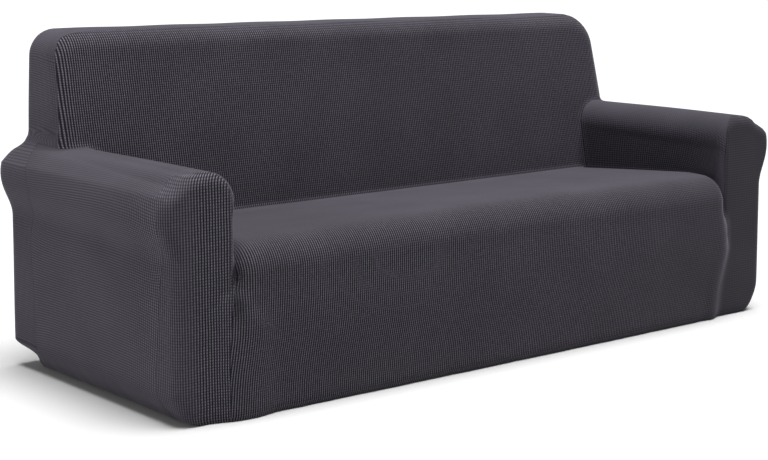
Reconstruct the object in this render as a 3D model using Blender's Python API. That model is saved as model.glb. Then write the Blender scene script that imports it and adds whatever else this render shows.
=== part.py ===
"""Stretch slipcover for a three-seat sofa with rolled arms, as it sits when pulled over the sofa.

X runs across (right is +X), Y runs from the front to the outside back, Z is up.
The origin is under the middle of the cover, level with its hem. Metres.

The cover is a thin cloth shell, open underneath. Its outer face is the surface where cover_form()
is zero: a rounded form blended from a seat, a back and two rolled arms. Seven cut panels share that
surface. Each is a grid of points spread between its seams and settled onto the form.
"""

import bpy
import numpy as np

# ---- Driving sizes -----------------------------------------------------------------------------

SIDE_HALF = {-1: 1.026, 1: 1.040}    # outside of the arm walls from the middle, left and right
SIDE_BELLY = 0.006         # how much further out the arm wall stands low down
DEPTH_HALF = 0.406         # arm fronts and outside back, from the middle
ARM_INNER = 0.855          # inside of the arm wall
ARM_UNDERCUT = 0.060       # how much further in it is down at the skirt, where the seat hides it
ARM_EDGE = 0.028           # rounding of the arm's front edges
ROLL_INNER = (0.925, 0.521)   # (outward, height) of the inner arc centre of the arm's roll
ROLL_OUTER = {-1: 0.983, 1: 0.989}    # its outer arc centre, left and right
ROLL_OUTER_HEIGHT = 0.497
ROLL_BULGE = 0.009         # how much the roll bulges between the two arcs, at the front
ROLL_RADIUS = 0.073
ROLL_SLIM = 0.004          # how much slimmer the roll is at the back than at the front
ROLL_LIFT = 0.020          # how much higher its outer side is at the back than at the front
ROLL_FILLET = 0.050        # hollow under the roll, on the outside

BACK_HALF = {-1: 0.976, 1: 0.990}     # the back's sides from the middle, down at the arms
BACK_TAPER = {-1: 0.045, 1: 0.085}    # how much less that is for each metre up
BACK_WITHIN = 0.100        # how much narrower the back is down between the arms
BACK_TOP = 0.873           # height of the back, at the middle
BACK_DROP = 0.012          # how much lower its top is for each metre to the right
BACK_CORNER = {-1: 0.068, 1: 0.092}    # rounding of the back's top corners, left and right
BACK_EDGE = 0.045          # rounding between the inside back and its sides
BACK_FOOT = 0.150          # depth of the inside back where it meets the seat
BACK_LEAN = 0.200          # how far it leans back for each metre up
BACK_CROWN = 0.008

SEAT_TUCK = 0.390          # seat height at the tuck against the back
SEAT_RISE = 0.075          # how much the seat rises for each metre forward
SEAT_CROWN = 0.010
SEAT_REACH = 0.434         # front of the seat, in front of the middle
SKIRT_REACH = 0.418        # front of the skirt at its hem
SEAT_CORNER = 0.045        # rounding of the seat's two ends
SEAT_END = 0.868           # the seat's two ends from the middle, inside the arms
SEAT_NARROW = 0.010        # how much nearer they come at the front
SEAT_NARROW_FROM = -0.25   # depth at which they begin to
SEAT_NARROW_RUN = 0.13     # over what distance
SKIRT_TOP = 0.280          # height at which the skirt begins to run up into the seat
SKIRT_RUN = 0.060          # over what height it does
SKIRT_BOW = 0.004          # how much it bows forward between its ends
SEAT_NOSE = 0.080          # rounding of the seat's front edge

TUCK_FILLET = 0.009        # tight tucks round the seat and inside the arms
SHOULDER_FILLET = 0.035    # hollow where an arm runs into the side of the back
SHOULDER_FROM = 0.20       # depth at which the tuck begins to open into that hollow
SHOULDER_RUN = 0.10        # over what distance it does
SKIRT_BLEND = {-1: 0.060, 1: 0.035}   # blend of the skirt's ends into the arm fronts, left and right
BACK_RIM = 0.030           # rounding round the outside back
HEM_ROUND = 0.035          # rounding all along the hem
HEM_BELOW = 0.014          # where that rounding would end, below the hem
TURN_HEIGHT = 0.088        # height at which the sides and the rear start to turn in
SIDE_TURN = 0.046          # how far they have turned in at the hem
CORNER_HEIGHT = 0.074      # the rear corners start to turn in lower down
CORNER_DROP = 0.052        # and have done so over this height
CORNER_TURN = 0.047        # how far they turn in
CORNER_START = (0.88, 0.26)    # outward, and behind the middle, where a rear corner begins
CORNER_RUN = 0.11          # over what distance it comes in

TO_MIDDLE = (0.0, 0.016, 0.0)    # from the middle of the arms, where the sizes start, to the origin

CLOTH = 0.0025             # thickness of the cloth
SEAM_GAP = 0.0003          # gap left at a seam between two panels

# ---- Seam tables -------------------------------------------------------------------------------
# Each row is a place that a seam passes, and the number of grid steps from it to the next row.

# outward, height, depth of the seam round the arm front, steps
ARM_INSIDE = (
    (0.866, 0.320, -0.402, 2),
    (0.869, 0.380, -0.404, 3),
    (0.867, 0.500, -0.404, 3),
    (0.880, 0.570, -0.400, 3),
    (0.923, 0.597, -0.378, 2),
    (0.955, 0.590, -0.357, 0),
)
ARM_OUTSIDE = (
    (0.955, 0.590, -0.357, 2),
    (0.992, 0.573, -0.338, 3),
    (1.040, 0.540, -0.360, 2),
    (1.053, 0.490, -0.374, 2),
    (1.034, 0.425, -0.360, 2),
    (1.020, 0.365, -0.343, 3),
    (1.024, 0.200, -0.325, 3),
    (1.020, 0.060, -0.313, 2),
    (0.985, 0.000, -0.318, 0),
)
# outward, depth, height, steps: the tuck between the seat and the inside arm, from the front
SEAT_SIDE = (
    (0.866, -0.402, 0.320, 2),
    (0.857, -0.382, 0.368, 2),
    (0.855, -0.345, 0.402, 2),
    (0.856, -0.220, 0.405, 3),
    (0.856, 0.000, 0.392, 3),
    (0.856, 0.155, 0.382, 0),
)
# the same columns: the tuck between the inside arm and the inside back, from the seat up
BACK_SIDE = (
    (0.856, 0.155, 0.382, 4),
    (0.853, 0.178, 0.520, 3),
    (0.872, 0.190, 0.575, 3),
    (0.925, 0.194, 0.597, 2),
    (0.971, 0.226, 0.605, 0),
)
# the same columns: where the top of the arm runs into the side of the back, up to the sleeve's end
SHOULDER = (
    (0.971, 0.226, 0.605, 1),
    (0.976, 0.318, 0.596, 0),
)
# the same columns: on from there to the outside back, inside one panel
SHOULDER_BACK = (
    (0.976, 0.318, 0.596, 1),
    (0.976, 0.338, 0.595, 1),
    (0.976, 0.358, 0.594, 1),
    (0.976, 0.400, 0.588, 0),
)
# outward, height, depth, steps: seam at the rear of the sleeve, from the shoulder down
ARM_REAR = (
    (0.976, 0.596, 0.318, 5),
    (1.053, 0.535, 0.248, 2),
    (1.062, 0.490, 0.240, 2),
    (1.050, 0.440, 0.257, 2),
    (1.030, 0.378, 0.281, 3),
    (1.032, 0.213, 0.274, 3),
    (1.034, 0.060, 0.270, 2),
    (0.985, 0.000, 0.275, 0),
)
# height, outward on the left, outward on the right, steps: seam of the skirt and the arm front
SKIRT_SIDE = (
    (0.320, 0.864, 0.866, 2),
    (0.200, 0.885, 0.878, 2),
    (0.100, 0.889, 0.854, 2),
    (0.000, 0.890, 0.846, 0),
)
# height, depth: the seam up the two sides of the inside back
BACK_SEAM = (
    (0.605, 0.226),
    (0.660, 0.227),
    (0.740, 0.233),
    (0.810, 0.242),
    (0.850, 0.255),
    (0.873, 0.272),
)
BACK_SEAM_TOP = {-1: 0.279, 1: 0.262}    # its depth along the top, left and right
SEAT_STEPS = sum(row[-1] for row in SEAT_SIDE)
CORNER_STEPS = sum(row[-1] for row in SHOULDER_BACK)
ARM_CORNER_INNER = 8       # steps up the arm-front seam to the inner top corner of the arm front
ARM_CORNER_OUTER = 18      # and on round to its outer top corner
BACK_RISE_STEPS = 5        # steps up the side of the back, above the arm
BACK_ARC_STEPS = 2         # steps round half of its top corner
WIDE_STEPS = 24            # steps across the sofa
BACK_ARC = (70.0, 45.0)    # how far round the top corner the seam and the rear edge run, in degrees
HEM_LEVEL = 0.050          # below this height a point is moved level
SETTLE_ROUNDS = 24         # steps taken to bring a point onto the cover
EVENING = 300              # rounds that even out the grid of a large flat panel
ROUND_EVENING = 6          # the same for a panel that wraps a corner
HEM_INSIDE = 0.10          # how far inside the hem it is looked for from
ARM_CORE = (0.935, -0.300, 0.480)    # top of an upright line inside the front of the arm

SHADE = (0.052, 0.050, 0.060, 1.0)   # charcoal cloth
ROUGHNESS = 0.92


# ---- The form under the cloth ------------------------------------------------------------------

def ease(value):
    """A smooth step from 0 to 1."""
    value = np.clip(value, 0.0, 1.0)
    return value * value * (3.0 - 2.0 * value)


def round_both(a, b, radius):
    """What lies inside both forms, with their common edge rounded."""
    corner = np.hypot(np.maximum(a + radius, 0.0), np.maximum(b + radius, 0.0))
    return np.minimum(np.maximum(a, b), -radius) + corner


def round_either(a, b, radius):
    """What lies inside either form, with a fillet in the hollow between them."""
    return -round_both(-a, -b, radius)


def skirt_half(x, z):
    """How far out the skirt's left or right end is at each height."""
    high, left, right, _ = np.transpose(SKIRT_SIDE[::-1])
    return np.where(x < 0, np.interp(z, high, left), np.interp(z, high, right))


def turned_in(z, corner):
    """How far a wall has turned in on its way down to the hem; corner is 1 at a rear corner."""
    between = 2.0 * SIDE_TURN * ease(0.5 - 0.5 * z / TURN_HEIGHT)
    at_corner = CORNER_TURN * ease((CORNER_HEIGHT - z) / CORNER_DROP)
    return between + (at_corner - between) * corner


def by_side(pair, x):
    """The value for the left or the right of the sofa."""
    return np.where(x < 0, pair[-1], pair[1])


def arm_form(p):
    out, y, z = np.abs(p[..., 0]), p[..., 1], p[..., 2]
    half = by_side(SIDE_HALF, p[..., 0])
    wall = half + SIDE_BELLY * ease(1.0 - z / ROLL_OUTER_HEIGHT)
    wall = wall - turned_in(z, ease((y - CORNER_START[1]) / CORNER_RUN))
    inner = ARM_INNER - ARM_UNDERCUT * ease((SKIRT_TOP - z) / ARM_UNDERCUT)
    post = np.maximum(np.maximum(inner - out, out - wall), z - ROLL_INNER[1])
    rearward = ease((y + DEPTH_HALF) / (2.0 * DEPTH_HALF))
    radius = ROLL_RADIUS - ROLL_SLIM * rearward
    ax, az = ROLL_INNER
    bx, bz = by_side(ROLL_OUTER, p[..., 0]), ROLL_OUTER_HEIGHT + ROLL_LIFT * rearward
    along = ((out - ax) * (bx - ax) + (z - az) * (bz - az)) / ((bx - ax) ** 2 + (bz - az) ** 2)
    along = np.clip(along, 0.0, 1.0)
    radius = radius + 4.0 * ROLL_BULGE * (1.0 - rearward) * along * (1.0 - along)
    roll = np.hypot(out - ax - along * (bx - ax), z - az - along * (bz - az)) - radius
    fillet = 1e-4 + ROLL_FILLET * ease((out - ax) / (bx - ax))
    section = round_either(post, roll, fillet)
    return round_both(section, -y - DEPTH_HALF, ARM_EDGE)


def back_outline(p):
    x, z = p[..., 0], p[..., 2]
    half = by_side(BACK_HALF, x) - by_side(BACK_TAPER, x) * (z - ROLL_INNER[1])
    half = half - BACK_WITHIN * ease((ROLL_INNER[1] - z) / BACK_WITHIN)
    return round_both(np.abs(x) - half, z - BACK_TOP + BACK_DROP * x, by_side(BACK_CORNER, x))


def back_front(p):
    x, y, z = p[..., 0], p[..., 1], p[..., 2]
    crown = BACK_CROWN * (1.0 - (x / BACK_HALF[1]) ** 2)
    face = BACK_FOOT + BACK_LEAN * (z - SEAT_TUCK) - crown
    return (face - y) / np.hypot(1.0, BACK_LEAN)


def back_form(p):
    return round_both(back_outline(p), back_front(p), BACK_EDGE)


def seat_form(p):
    x, y, z = p[..., 0], p[..., 1], p[..., 2]
    bow = 1.0 - np.clip(x / ARM_INNER, -1.0, 1.0) ** 2
    forward = BACK_FOOT - y
    top = SEAT_TUCK + SEAT_RISE * np.minimum(forward, 0.45)
    top = top + SEAT_CROWN * bow * ease(forward / 0.45)
    low = skirt_half(x, z)
    high = SEAT_END - SEAT_NARROW * ease((SEAT_NARROW_FROM - y) / SEAT_NARROW_RUN)
    end = low + (high - low) * ease((z - SKIRT_TOP) / SKIRT_RUN)
    reach = SKIRT_REACH + (SEAT_REACH - SKIRT_REACH) * ease(z / SKIRT_TOP) + SKIRT_BOW * bow
    nose = round_both(z - top, -y - reach, SEAT_NOSE)
    return round_both(nose, np.abs(x) - end, SEAT_CORNER)


def rear_face(p):
    corner = ease((np.abs(p[..., 0]) - CORNER_START[0]) / CORNER_RUN)
    return p[..., 1] - DEPTH_HALF + turned_in(p[..., 2], corner)


def sides_form(p):
    """Arms, back and seat as one form, before the outside back and the hem are rounded off."""
    x, y, z = p[..., 0], p[..., 1], p[..., 2]
    shoulder = ease((y - SHOULDER_FROM) / SHOULDER_RUN)
    shoulder = TUCK_FILLET + (SHOULDER_FILLET - TUCK_FILLET) * shoulder
    body = round_either(back_form(p), arm_form(p), shoulder)
    skirt = ease((SKIRT_TOP + SKIRT_RUN - z) / SKIRT_RUN)
    tuck = TUCK_FILLET + (by_side(SKIRT_BLEND, x) - TUCK_FILLET) * skirt
    return round_either(body, seat_form(p), tuck)


def cover_form(p):
    body = round_both(sides_form(p), rear_face(p), BACK_RIM)
    return round_both(body, -HEM_BELOW - p[..., 2], HEM_ROUND)


def slope(form, p, step=1e-5):
    """Gradient of a form at each point."""
    parts = []
    for axis in np.eye(3) * step:
        parts.append((form(p + axis) - form(p - axis)) / (2.0 * step))
    return np.stack(parts, axis=-1)


def kept_low(lean, p):
    """A gradient laid level near the hem, so that points there keep their height."""
    lean[..., 2] *= ease(p[..., 2] / HEM_LEVEL)
    return lean


def outward(p):
    """Unit normals of the cover at each point."""
    lean = slope(cover_form, p)
    return lean / np.linalg.norm(lean, axis=-1, keepdims=True)


def settle(p):
    """Moves points onto the cover, along its normals."""
    p = np.array(p, float)
    for _ in range(SETTLE_ROUNDS):
        lean = kept_low(slope(cover_form, p), p)
        steep = np.maximum(np.sum(lean * lean, axis=-1), 0.1)
        p = p - (cover_form(p) / steep)[..., None] * lean
    return p


def meet(form_a, form_b, p):
    """Moves points to where two forms cross, and then onto the cover."""
    p = np.array(p, float)
    for _ in range(SETTLE_ROUNDS):
        a, b = kept_low(slope(form_a, p), p), kept_low(slope(form_b, p), p)
        aa, bb, ab = np.sum(a * a, -1), np.sum(b * b, -1), np.sum(a * b, -1)
        da, db = form_a(p), form_b(p)
        under = aa * bb - ab * ab + 1e-6
        p = p - ((da * bb - db * ab) / under)[..., None] * a - ((db * aa - da * ab) / under)[..., None] * b
    return settle(p)


# ---- Seams -------------------------------------------------------------------------------------

def through(keys, steps):
    """Points on a smooth curve through the keys, with that many steps between each two."""
    keys = np.array(keys, float)
    gaps = np.linalg.norm(np.diff(keys, axis=0), axis=1)
    sides = np.diff(keys, axis=0) / gaps[:, None]
    pull = np.empty_like(keys)
    pull[0], pull[-1] = sides[0], sides[-1]
    share = (gaps[1:] / (gaps[1:] + gaps[:-1]))[:, None]
    pull[1:-1] = sides[:-1] * share + sides[1:] * (1.0 - share)
    points = []
    for i, count in enumerate(steps):
        t = (np.arange(count) / count)[:, None]
        start, end = pull[i] * gaps[i], pull[i + 1] * gaps[i]
        points.append((2 * t ** 3 - 3 * t ** 2 + 1) * keys[i] + (t ** 3 - 2 * t ** 2 + t) * start
                      + (3 * t ** 2 - 2 * t ** 3) * keys[i + 1] + (t ** 3 - t ** 2) * end)
    points.append(keys[-1:])
    return np.concatenate(points)


def on_side(side, points):
    return np.asarray(points) * np.array([side, 1.0, 1.0])


def across(left, right, steps, pinch=0.55):
    """Points from left to right, closer together near both ends."""
    t = np.linspace(0.0, 1.0, steps + 1)
    t = t - pinch * np.sin(2.0 * np.pi * t) / (2.0 * np.pi)
    return left + (right - left) * t[:, None]


def steps_of(table):
    return [row[-1] for row in table[:-1]]


def seams(side):
    """Every seam line on one side of the sofa, as points on the cover."""
    lines = {}
    tucks = (("seat_side", SEAT_SIDE, seat_form, arm_form),
             ("back_side", BACK_SIDE, arm_form, back_form),
             ("shoulder", SHOULDER, arm_form, back_form),
             ("shoulder_back", SHOULDER_BACK, arm_form, back_form))
    for name, table, form_a, form_b in tucks:
        keys = [row[:3] for row in table]
        lines[name] = meet(form_a, form_b, on_side(side, through(keys, steps_of(table))))
    lines["shoulder_back"][-1] = meet(sides_form, rear_face, on_side(side, SHOULDER_BACK[-1][:3]))

    column = 1 if side < 0 else 2
    skirt = [(row[column], row[0], -DEPTH_HALF - 0.008, row[-1]) for row in SKIRT_SIDE]
    corner = [(out, high, DEPTH_HALF, steps) for out, high, _, steps in ARM_REAR]
    downs = (("arm_front", ARM_INSIDE[:-1] + ARM_OUTSIDE, lines["seat_side"][0]),
             ("skirt_side", skirt, lines["seat_side"][0]),
             ("arm_rear", ARM_REAR, lines["shoulder"][-1]),
             ("corner", corner, lines["shoulder_back"][-1]))
    for name, table, start in downs:
        keys = on_side(side, [(out, depth, high) for out, high, depth, _ in table])
        keys[0] = start
        line = through(keys, steps_of(table))
        lines[name] = meet(sides_form, rear_face, line) if name == "corner" else settle(line)

    rise = np.linspace(SHOULDER[0][2], BACK_TOP - BACK_CORNER[side], BACK_RISE_STEPS + 1)[:-1]
    rise = np.stack([np.full_like(rise, BACK_HALF[side]), np.zeros_like(rise), rise], -1)
    edges = []
    for angle in BACK_ARC:
        turn = np.linspace(0.0, np.radians(angle), BACK_ARC_STEPS + 1)
        arc = BACK_CORNER[side] * (np.stack([np.cos(turn), 0.0 * turn, np.sin(turn)], -1) - (1.0, 0.0, 1.0))
        edges.append(on_side(side, np.concatenate([rise, arc + (BACK_HALF[side], 0.0, BACK_TOP)])))
    front, rear = edges
    front[:, 1] = np.interp(front[:, 2], *np.transpose(BACK_SEAM))
    rear[:, 1] = DEPTH_HALF
    lines["back_edge"] = settle(front)
    lines["back_rim"] = meet(sides_form, rear_face, rear)

    knots = {
        "tuck_end": ("seat_side", -1, "back_side", 0),
        "tuck_start": ("seat_side", 0, "arm_front", 0, "skirt_side", 0),
        "shoulder_front": ("back_side", -1, "shoulder", 0, "back_edge", 0),
        "sleeve_end": ("shoulder", -1, "shoulder_back", 0, "arm_rear", 0),
        "shoulder_rear": ("shoulder_back", -1, "back_rim", 0, "corner", 0),
    }
    for chain in knots.values():
        point = lines[chain[0]][chain[1]].copy()
        for name, end in zip(chain[::2], chain[1::2]):
            lines[name][end] = point
    return lines


def between(low, high, left, right):
    """Values blended across a grid from the values along its four sides."""
    u = np.linspace(0.0, 1.0, len(low))[None, :, None]
    v = np.linspace(0.0, 1.0, len(left))[:, None, None]
    grid = (1 - v) * low[None] + v * high[None] + (1 - u) * left[:, None] + u * right[:, None]
    grid = grid - (1 - u) * (1 - v) * low[0] - u * (1 - v) * low[-1]
    return grid - (1 - u) * v * high[0] - u * v * high[-1]


def even_out(grid, rounds):
    """Draws the points of a grid towards the middle of their neighbours; the four seams stay."""
    for _ in range(rounds):
        grid[1:-1, 1:-1] = (grid[:-2, 1:-1] + grid[2:, 1:-1] + grid[1:-1, :-2] + grid[1:-1, 2:]) / 4.0
    grid[1:-1, 1:-1] = settle(grid[1:-1, 1:-1])


def patch(low, high, left, right, evening=0):
    """Grid of points between four seams, settled onto the cover; the seams stay as they are."""
    grid = between(low, high, left, right)
    grid[0], grid[-1], grid[:, 0], grid[:, -1] = low, high, left, right
    even_out(grid, evening)
    return grid


def look_out(root, way):
    """Where the cover is met when looking from the root points along the ways."""
    way = way / np.linalg.norm(way, axis=-1, keepdims=True)
    reach = np.zeros(way.shape[:-1] + (1,))
    for _ in range(80):
        reach = reach - cover_form(root + way * reach)[..., None]
    return root + way * reach


def patch_round(core, low, high, left, right):
    """As patch(), for a panel that wraps an upright core: each point is found looking out from it."""
    sides = []
    for line in (low, high, left, right):
        root = np.broadcast_to(core, line.shape).copy()
        root[:, 2] = np.minimum(line[:, 2], core[2])
        way = line - root
        sides.append(np.concatenate([root, way / np.linalg.norm(way, axis=1, keepdims=True)], axis=1))
    grid = between(*sides)
    grid = look_out(grid[..., :3], grid[..., 3:])
    grid[0], grid[-1], grid[:, 0], grid[:, -1] = low, high, left, right
    for _ in range(ROUND_EVENING):
        even_out(grid, 1)
    return grid


def hem(start, end, steps, pinch=0.55):
    """Hem points in front of a straight line between two seams, looking out level from inside."""
    line = across(start, end, steps, pinch)
    way = np.array([end[1] - start[1], start[0] - end[0], 0.0])
    way = way * np.sign(way @ (start + end)) / np.linalg.norm(way)
    line = look_out(line - way * HEM_INSIDE, np.broadcast_to(way, line.shape))
    line[0], line[-1] = start, end
    return line


def hem_round(core, start, end, steps):
    """Hem points round a corner of the sofa, evenly apart."""
    root = np.array([core[0], core[1], 0.0])
    line = look_out(root, across(start, end, 10 * steps, 0.0) - root)
    run = np.concatenate([[0.0], np.cumsum(np.linalg.norm(np.diff(line, axis=0), axis=1))])
    even = np.linspace(0.0, run[-1], steps + 1)
    line = np.stack([np.interp(even, run, line[:, i]) for i in range(3)], axis=-1)
    line[0], line[-1] = start, end
    return settle(line)


# ---- Panels ------------------------------------------------------------------------------------

def panel_grids():
    """The grids of points of every panel, by name."""
    left, right = seams(-1), seams(1)
    panels = {}
    wide = WIDE_STEPS
    tuck = meet(seat_form, back_form, across(left["seat_side"][-1], right["seat_side"][-1], wide))
    front_hem = hem(left["skirt_side"][-1], right["skirt_side"][-1], wide)
    sides = [np.concatenate([line["seat_side"][::-1], line["skirt_side"][1:]]) for line in (left, right)]
    panels["seat_and_skirt"] = [patch(tuck, front_hem, *sides)]

    top_edge = across(left["back_edge"][-1], right["back_edge"][-1], wide)
    t = np.linspace(0.0, 1.0, len(top_edge))
    share = ease(6.0 * t) * ease(6.0 * (1.0 - t))
    depth = np.linspace(BACK_SEAM_TOP[-1], BACK_SEAM_TOP[1], len(top_edge))
    top_edge[:, 1] += share * (depth - top_edge[:, 1])
    top_edge[:, 2] += share * (BACK_TOP - BACK_DROP * top_edge[:, 0] - top_edge[:, 2])
    top_edge = settle(top_edge)
    sides = [np.concatenate([line["back_side"], line["back_edge"][1:]]) for line in (left, right)]
    panels["inside_back"] = [patch(tuck, top_edge, *sides, EVENING)]

    rim_top = meet(sides_form, rear_face, across(left["back_rim"][-1], right["back_rim"][-1], wide))
    rear_hem = hem(left["corner"][-1], right["corner"][-1], wide)
    sides = [np.concatenate([line["corner"][::-1], line["back_rim"][1:]]) for line in (left, right)]
    rear = patch(rear_hem, rim_top, *sides, EVENING)
    front_loop = np.concatenate([left["back_edge"], top_edge[1:-1], right["back_edge"][::-1]])
    rear_loop = np.concatenate([left["back_rim"], rim_top[1:-1], right["back_rim"][::-1]])
    ends = [np.concatenate([line["shoulder"], line["shoulder_back"][1:]]) for line in (left, right)]
    panels["outside_back"] = [rear, patch(front_loop, rear_loop, *ends)]

    for name, side, line in (("left", -1, left), ("right", 1, right)):
        front = line["arm_front"]
        low_hem = hem(front[-1], line["arm_rear"][-1], SEAT_STEPS, 0.0)
        rear_low = hem(line["arm_rear"][-1], line["corner"][-1], CORNER_STEPS, 0.0)
        panels["outside_back"].append(patch(line["shoulder_back"], rear_low, line["arm_rear"], line["corner"]))
        behind = np.concatenate([line["back_side"], line["shoulder"][1:], line["arm_rear"][1:]])
        sleeve = patch(line["seat_side"], low_hem, front, behind)
        for _ in range(ROUND_EVENING):
            even_out(sleeve, 1)
        panels["arm_sleeve_" + name] = [sleeve]
        inner = np.concatenate([line["skirt_side"][::-1], front[1:ARM_CORNER_INNER + 1]])
        outer = front[ARM_CORNER_OUTER:][::-1]
        top = front[ARM_CORNER_INNER:ARM_CORNER_OUTER + 1]
        core = on_side(side, ARM_CORE)
        low = hem_round(core, inner[0], outer[0], len(top) - 1)
        panels["arm_front_" + name] = [patch_round(core, low, top, inner, outer)]
    return panels


def stitched(grids):
    """Points and four-cornered faces of a panel, with the grids joined where they share points."""
    points, faces, places = [], [], {}
    for grid in grids:
        rows, columns = grid.shape[:2]
        index = np.empty((rows, columns), int)
        for i in range(rows):
            for j in range(columns):
                key = tuple(np.round(grid[i, j], 6) + 0.0)
                if key not in places:
                    places[key] = len(points)
                    points.append(grid[i, j])
                index[i, j] = places[key]
        for i in range(rows - 1):
            for j in range(columns - 1):
                faces.append((index[i, j], index[i, j + 1], index[i + 1, j + 1], index[i + 1, j]))
    return np.array(points), faces


def facing_out(points, faces):
    """The faces, each turned so that it faces away from the sofa."""
    corners = points[np.array(faces)]
    normal = np.cross(corners[:, 2] - corners[:, 0], corners[:, 3] - corners[:, 1])
    turned = np.sum(normal * outward(corners.mean(axis=1)), axis=1) < 0.0
    return [face[::-1] if back else face for face, back in zip(faces, turned)]


def halved(points, faces):
    """Two triangles for each face, cut along the diagonal that lies nearer to the cover.

    Both sides of the cloth are then cut alike, so it keeps its thickness where a face is curved.
    """
    corners = points[np.array(faces)]
    middles = np.stack([corners[:, 0] + corners[:, 2], corners[:, 1] + corners[:, 3]]) / 2.0
    off = np.abs(cover_form(middles))
    halves = []
    for (a, b, c, d), first in zip(faces, off[0] <= off[1]):
        halves += [(a, b, c), (a, c, d)] if first else [(a, b, d), (b, c, d)]
    return halves


def open_edges(faces):
    """The edges that belong to one face only, in that face's direction."""
    edges = {}
    for face in faces:
        for a, b in zip(face, face[1:] + face[:1]):
            edges[(a, b)] = True
    return [(a, b) for a, b in edges if (b, a) not in edges]


def cloth_shell(points, faces):
    """Gives a panel its thickness, and draws its rim back from the seams.

    The rim is cut across the same diagonals on both sides of a seam, so the gap stays even.
    """
    normals = outward(points)
    rim = open_edges(faces)
    pull = {}
    for a, b in rim:
        run = points[b] - points[a]
        for i in (a, b):
            inward = np.cross(normals[i], run)
            pull.setdefault(i, []).append(inward / np.linalg.norm(inward))
    outer = points.copy()
    for i, ways in pull.items():
        mitre = sum(ways) / max(0.4, 1.0 + float(np.dot(ways[0], ways[-1])))
        if points[i, 2] < 1e-6:
            mitre[2] = 0.0
        outer[i] = points[i] + mitre * SEAM_GAP / 2.0
    inner = outer - normals * CLOTH
    count = len(points)
    shell = list(faces)
    shell += [tuple(i + count for i in reversed(face)) for face in faces]
    for a, b in rim:
        if tuple(points[a]) < tuple(points[b]):
            shell += [(b, a, b + count), (a, a + count, b + count)]
        else:
            shell += [(b, a, a + count), (b, a + count, b + count)]
    return np.concatenate([outer, inner]), shell


def cloth_material(name):
    material = bpy.data.materials.new(name + "_cloth")
    material.use_nodes = True
    shader = material.node_tree.nodes["Principled BSDF"]
    shader.inputs["Base Color"].default_value = SHADE
    shader.inputs["Roughness"].default_value = ROUGHNESS
    shader.inputs["Metallic"].default_value = 0.0
    material.diffuse_color = SHADE
    return material


def add_panel(collection, name, grids):
    points, faces = stitched(grids)
    points, faces = cloth_shell(points, halved(points, facing_out(points, faces)))
    mesh = bpy.data.meshes.new(name)
    points = points + np.array(TO_MIDDLE)
    mesh.from_pydata(points.tolist(), [], [tuple(int(i) for i in face) for face in faces])
    mesh.materials.append(cloth_material(name))
    mesh.shade_smooth()
    mesh.set_sharp_from_angle(angle=np.radians(50.0))
    collection.objects.link(bpy.data.objects.new(name, mesh))


def main():
    for thing in list(bpy.data.objects):
        bpy.data.objects.remove(thing, do_unlink=True)
    collection = bpy.data.collections.new("sofa_slipcover")
    bpy.context.scene.collection.children.link(collection)
    for name, grids in panel_grids().items():
        add_panel(collection, name, grids)


main()
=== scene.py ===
# %% [markdown]
# # A stretch slipcover for a three-seat sofa
# The real piece is a cover sewn from knitted jacquard cloth. It is pulled over a sofa with rolled
# arms, and the cloth stretches until it lies on the sofa's own shape. This file dresses the plain
# solids of that cover: each solid is replaced by a thin sheet of cloth with its weave, its creases
# and its stitching.
#
# The solids come first, and every piece stays where they are.

import math

import bpy
import numpy as np
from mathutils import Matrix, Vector


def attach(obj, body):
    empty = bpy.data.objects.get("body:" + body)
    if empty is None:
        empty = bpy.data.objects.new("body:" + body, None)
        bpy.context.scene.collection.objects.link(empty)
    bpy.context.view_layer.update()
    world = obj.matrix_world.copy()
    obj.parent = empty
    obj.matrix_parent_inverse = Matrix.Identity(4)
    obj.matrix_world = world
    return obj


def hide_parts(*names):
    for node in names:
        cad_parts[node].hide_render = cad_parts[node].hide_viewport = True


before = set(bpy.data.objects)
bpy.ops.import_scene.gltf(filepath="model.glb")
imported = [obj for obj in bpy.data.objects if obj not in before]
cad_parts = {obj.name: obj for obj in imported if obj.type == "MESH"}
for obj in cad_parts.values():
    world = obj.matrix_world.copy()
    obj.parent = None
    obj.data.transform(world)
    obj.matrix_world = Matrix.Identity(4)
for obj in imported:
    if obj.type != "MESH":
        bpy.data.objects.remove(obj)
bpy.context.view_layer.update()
print("solids:", ", ".join(sorted(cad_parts)))

# %% [markdown]
# ## The form under the cloth
# A stretched cover has no free folds to drape, so its shape is a rounded solid: a seat, a back and
# two rolled arms, run together with fillets. One could model it with boxes and a subdivision
# surface, but then each seam would have to be an edge loop of the same mesh.
#
# Here the form is written as a function instead: cover_form() is below zero inside the cover,
# above zero outside, and zero on the cloth. Any point can then be brought onto the cloth by sliding
# it along the function's slope, so seams may run wherever the maker cut them.

# %% Sizes of the form
SIDE_HALF = {-1: 1.026, 1: 1.040}    # outside of the arm walls from the middle, left and right
SIDE_BELLY = 0.006         # how much further out the arm wall stands low down
DEPTH_HALF = 0.406         # arm fronts and outside back, from the middle
ARM_INNER = 0.855          # inside of the arm wall
ARM_UNDERCUT = 0.060       # how much further in it is down at the skirt, where the seat hides it
ARM_EDGE = 0.028           # rounding of the arm's front edges
ROLL_INNER = (0.925, 0.521)   # (outward, height) of the inner arc centre of the arm's roll
ROLL_OUTER = {-1: 0.983, 1: 0.989}    # its outer arc centre, left and right
ROLL_OUTER_HEIGHT = 0.497
ROLL_BULGE = 0.009         # how much the roll bulges between the two arcs, at the front
ROLL_RADIUS = 0.073
ROLL_SLIM = 0.004          # how much slimmer the roll is at the back than at the front
ROLL_LIFT = 0.020          # how much higher its outer side is at the back than at the front
ROLL_FILLET = 0.050        # hollow under the roll, on the outside

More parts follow.
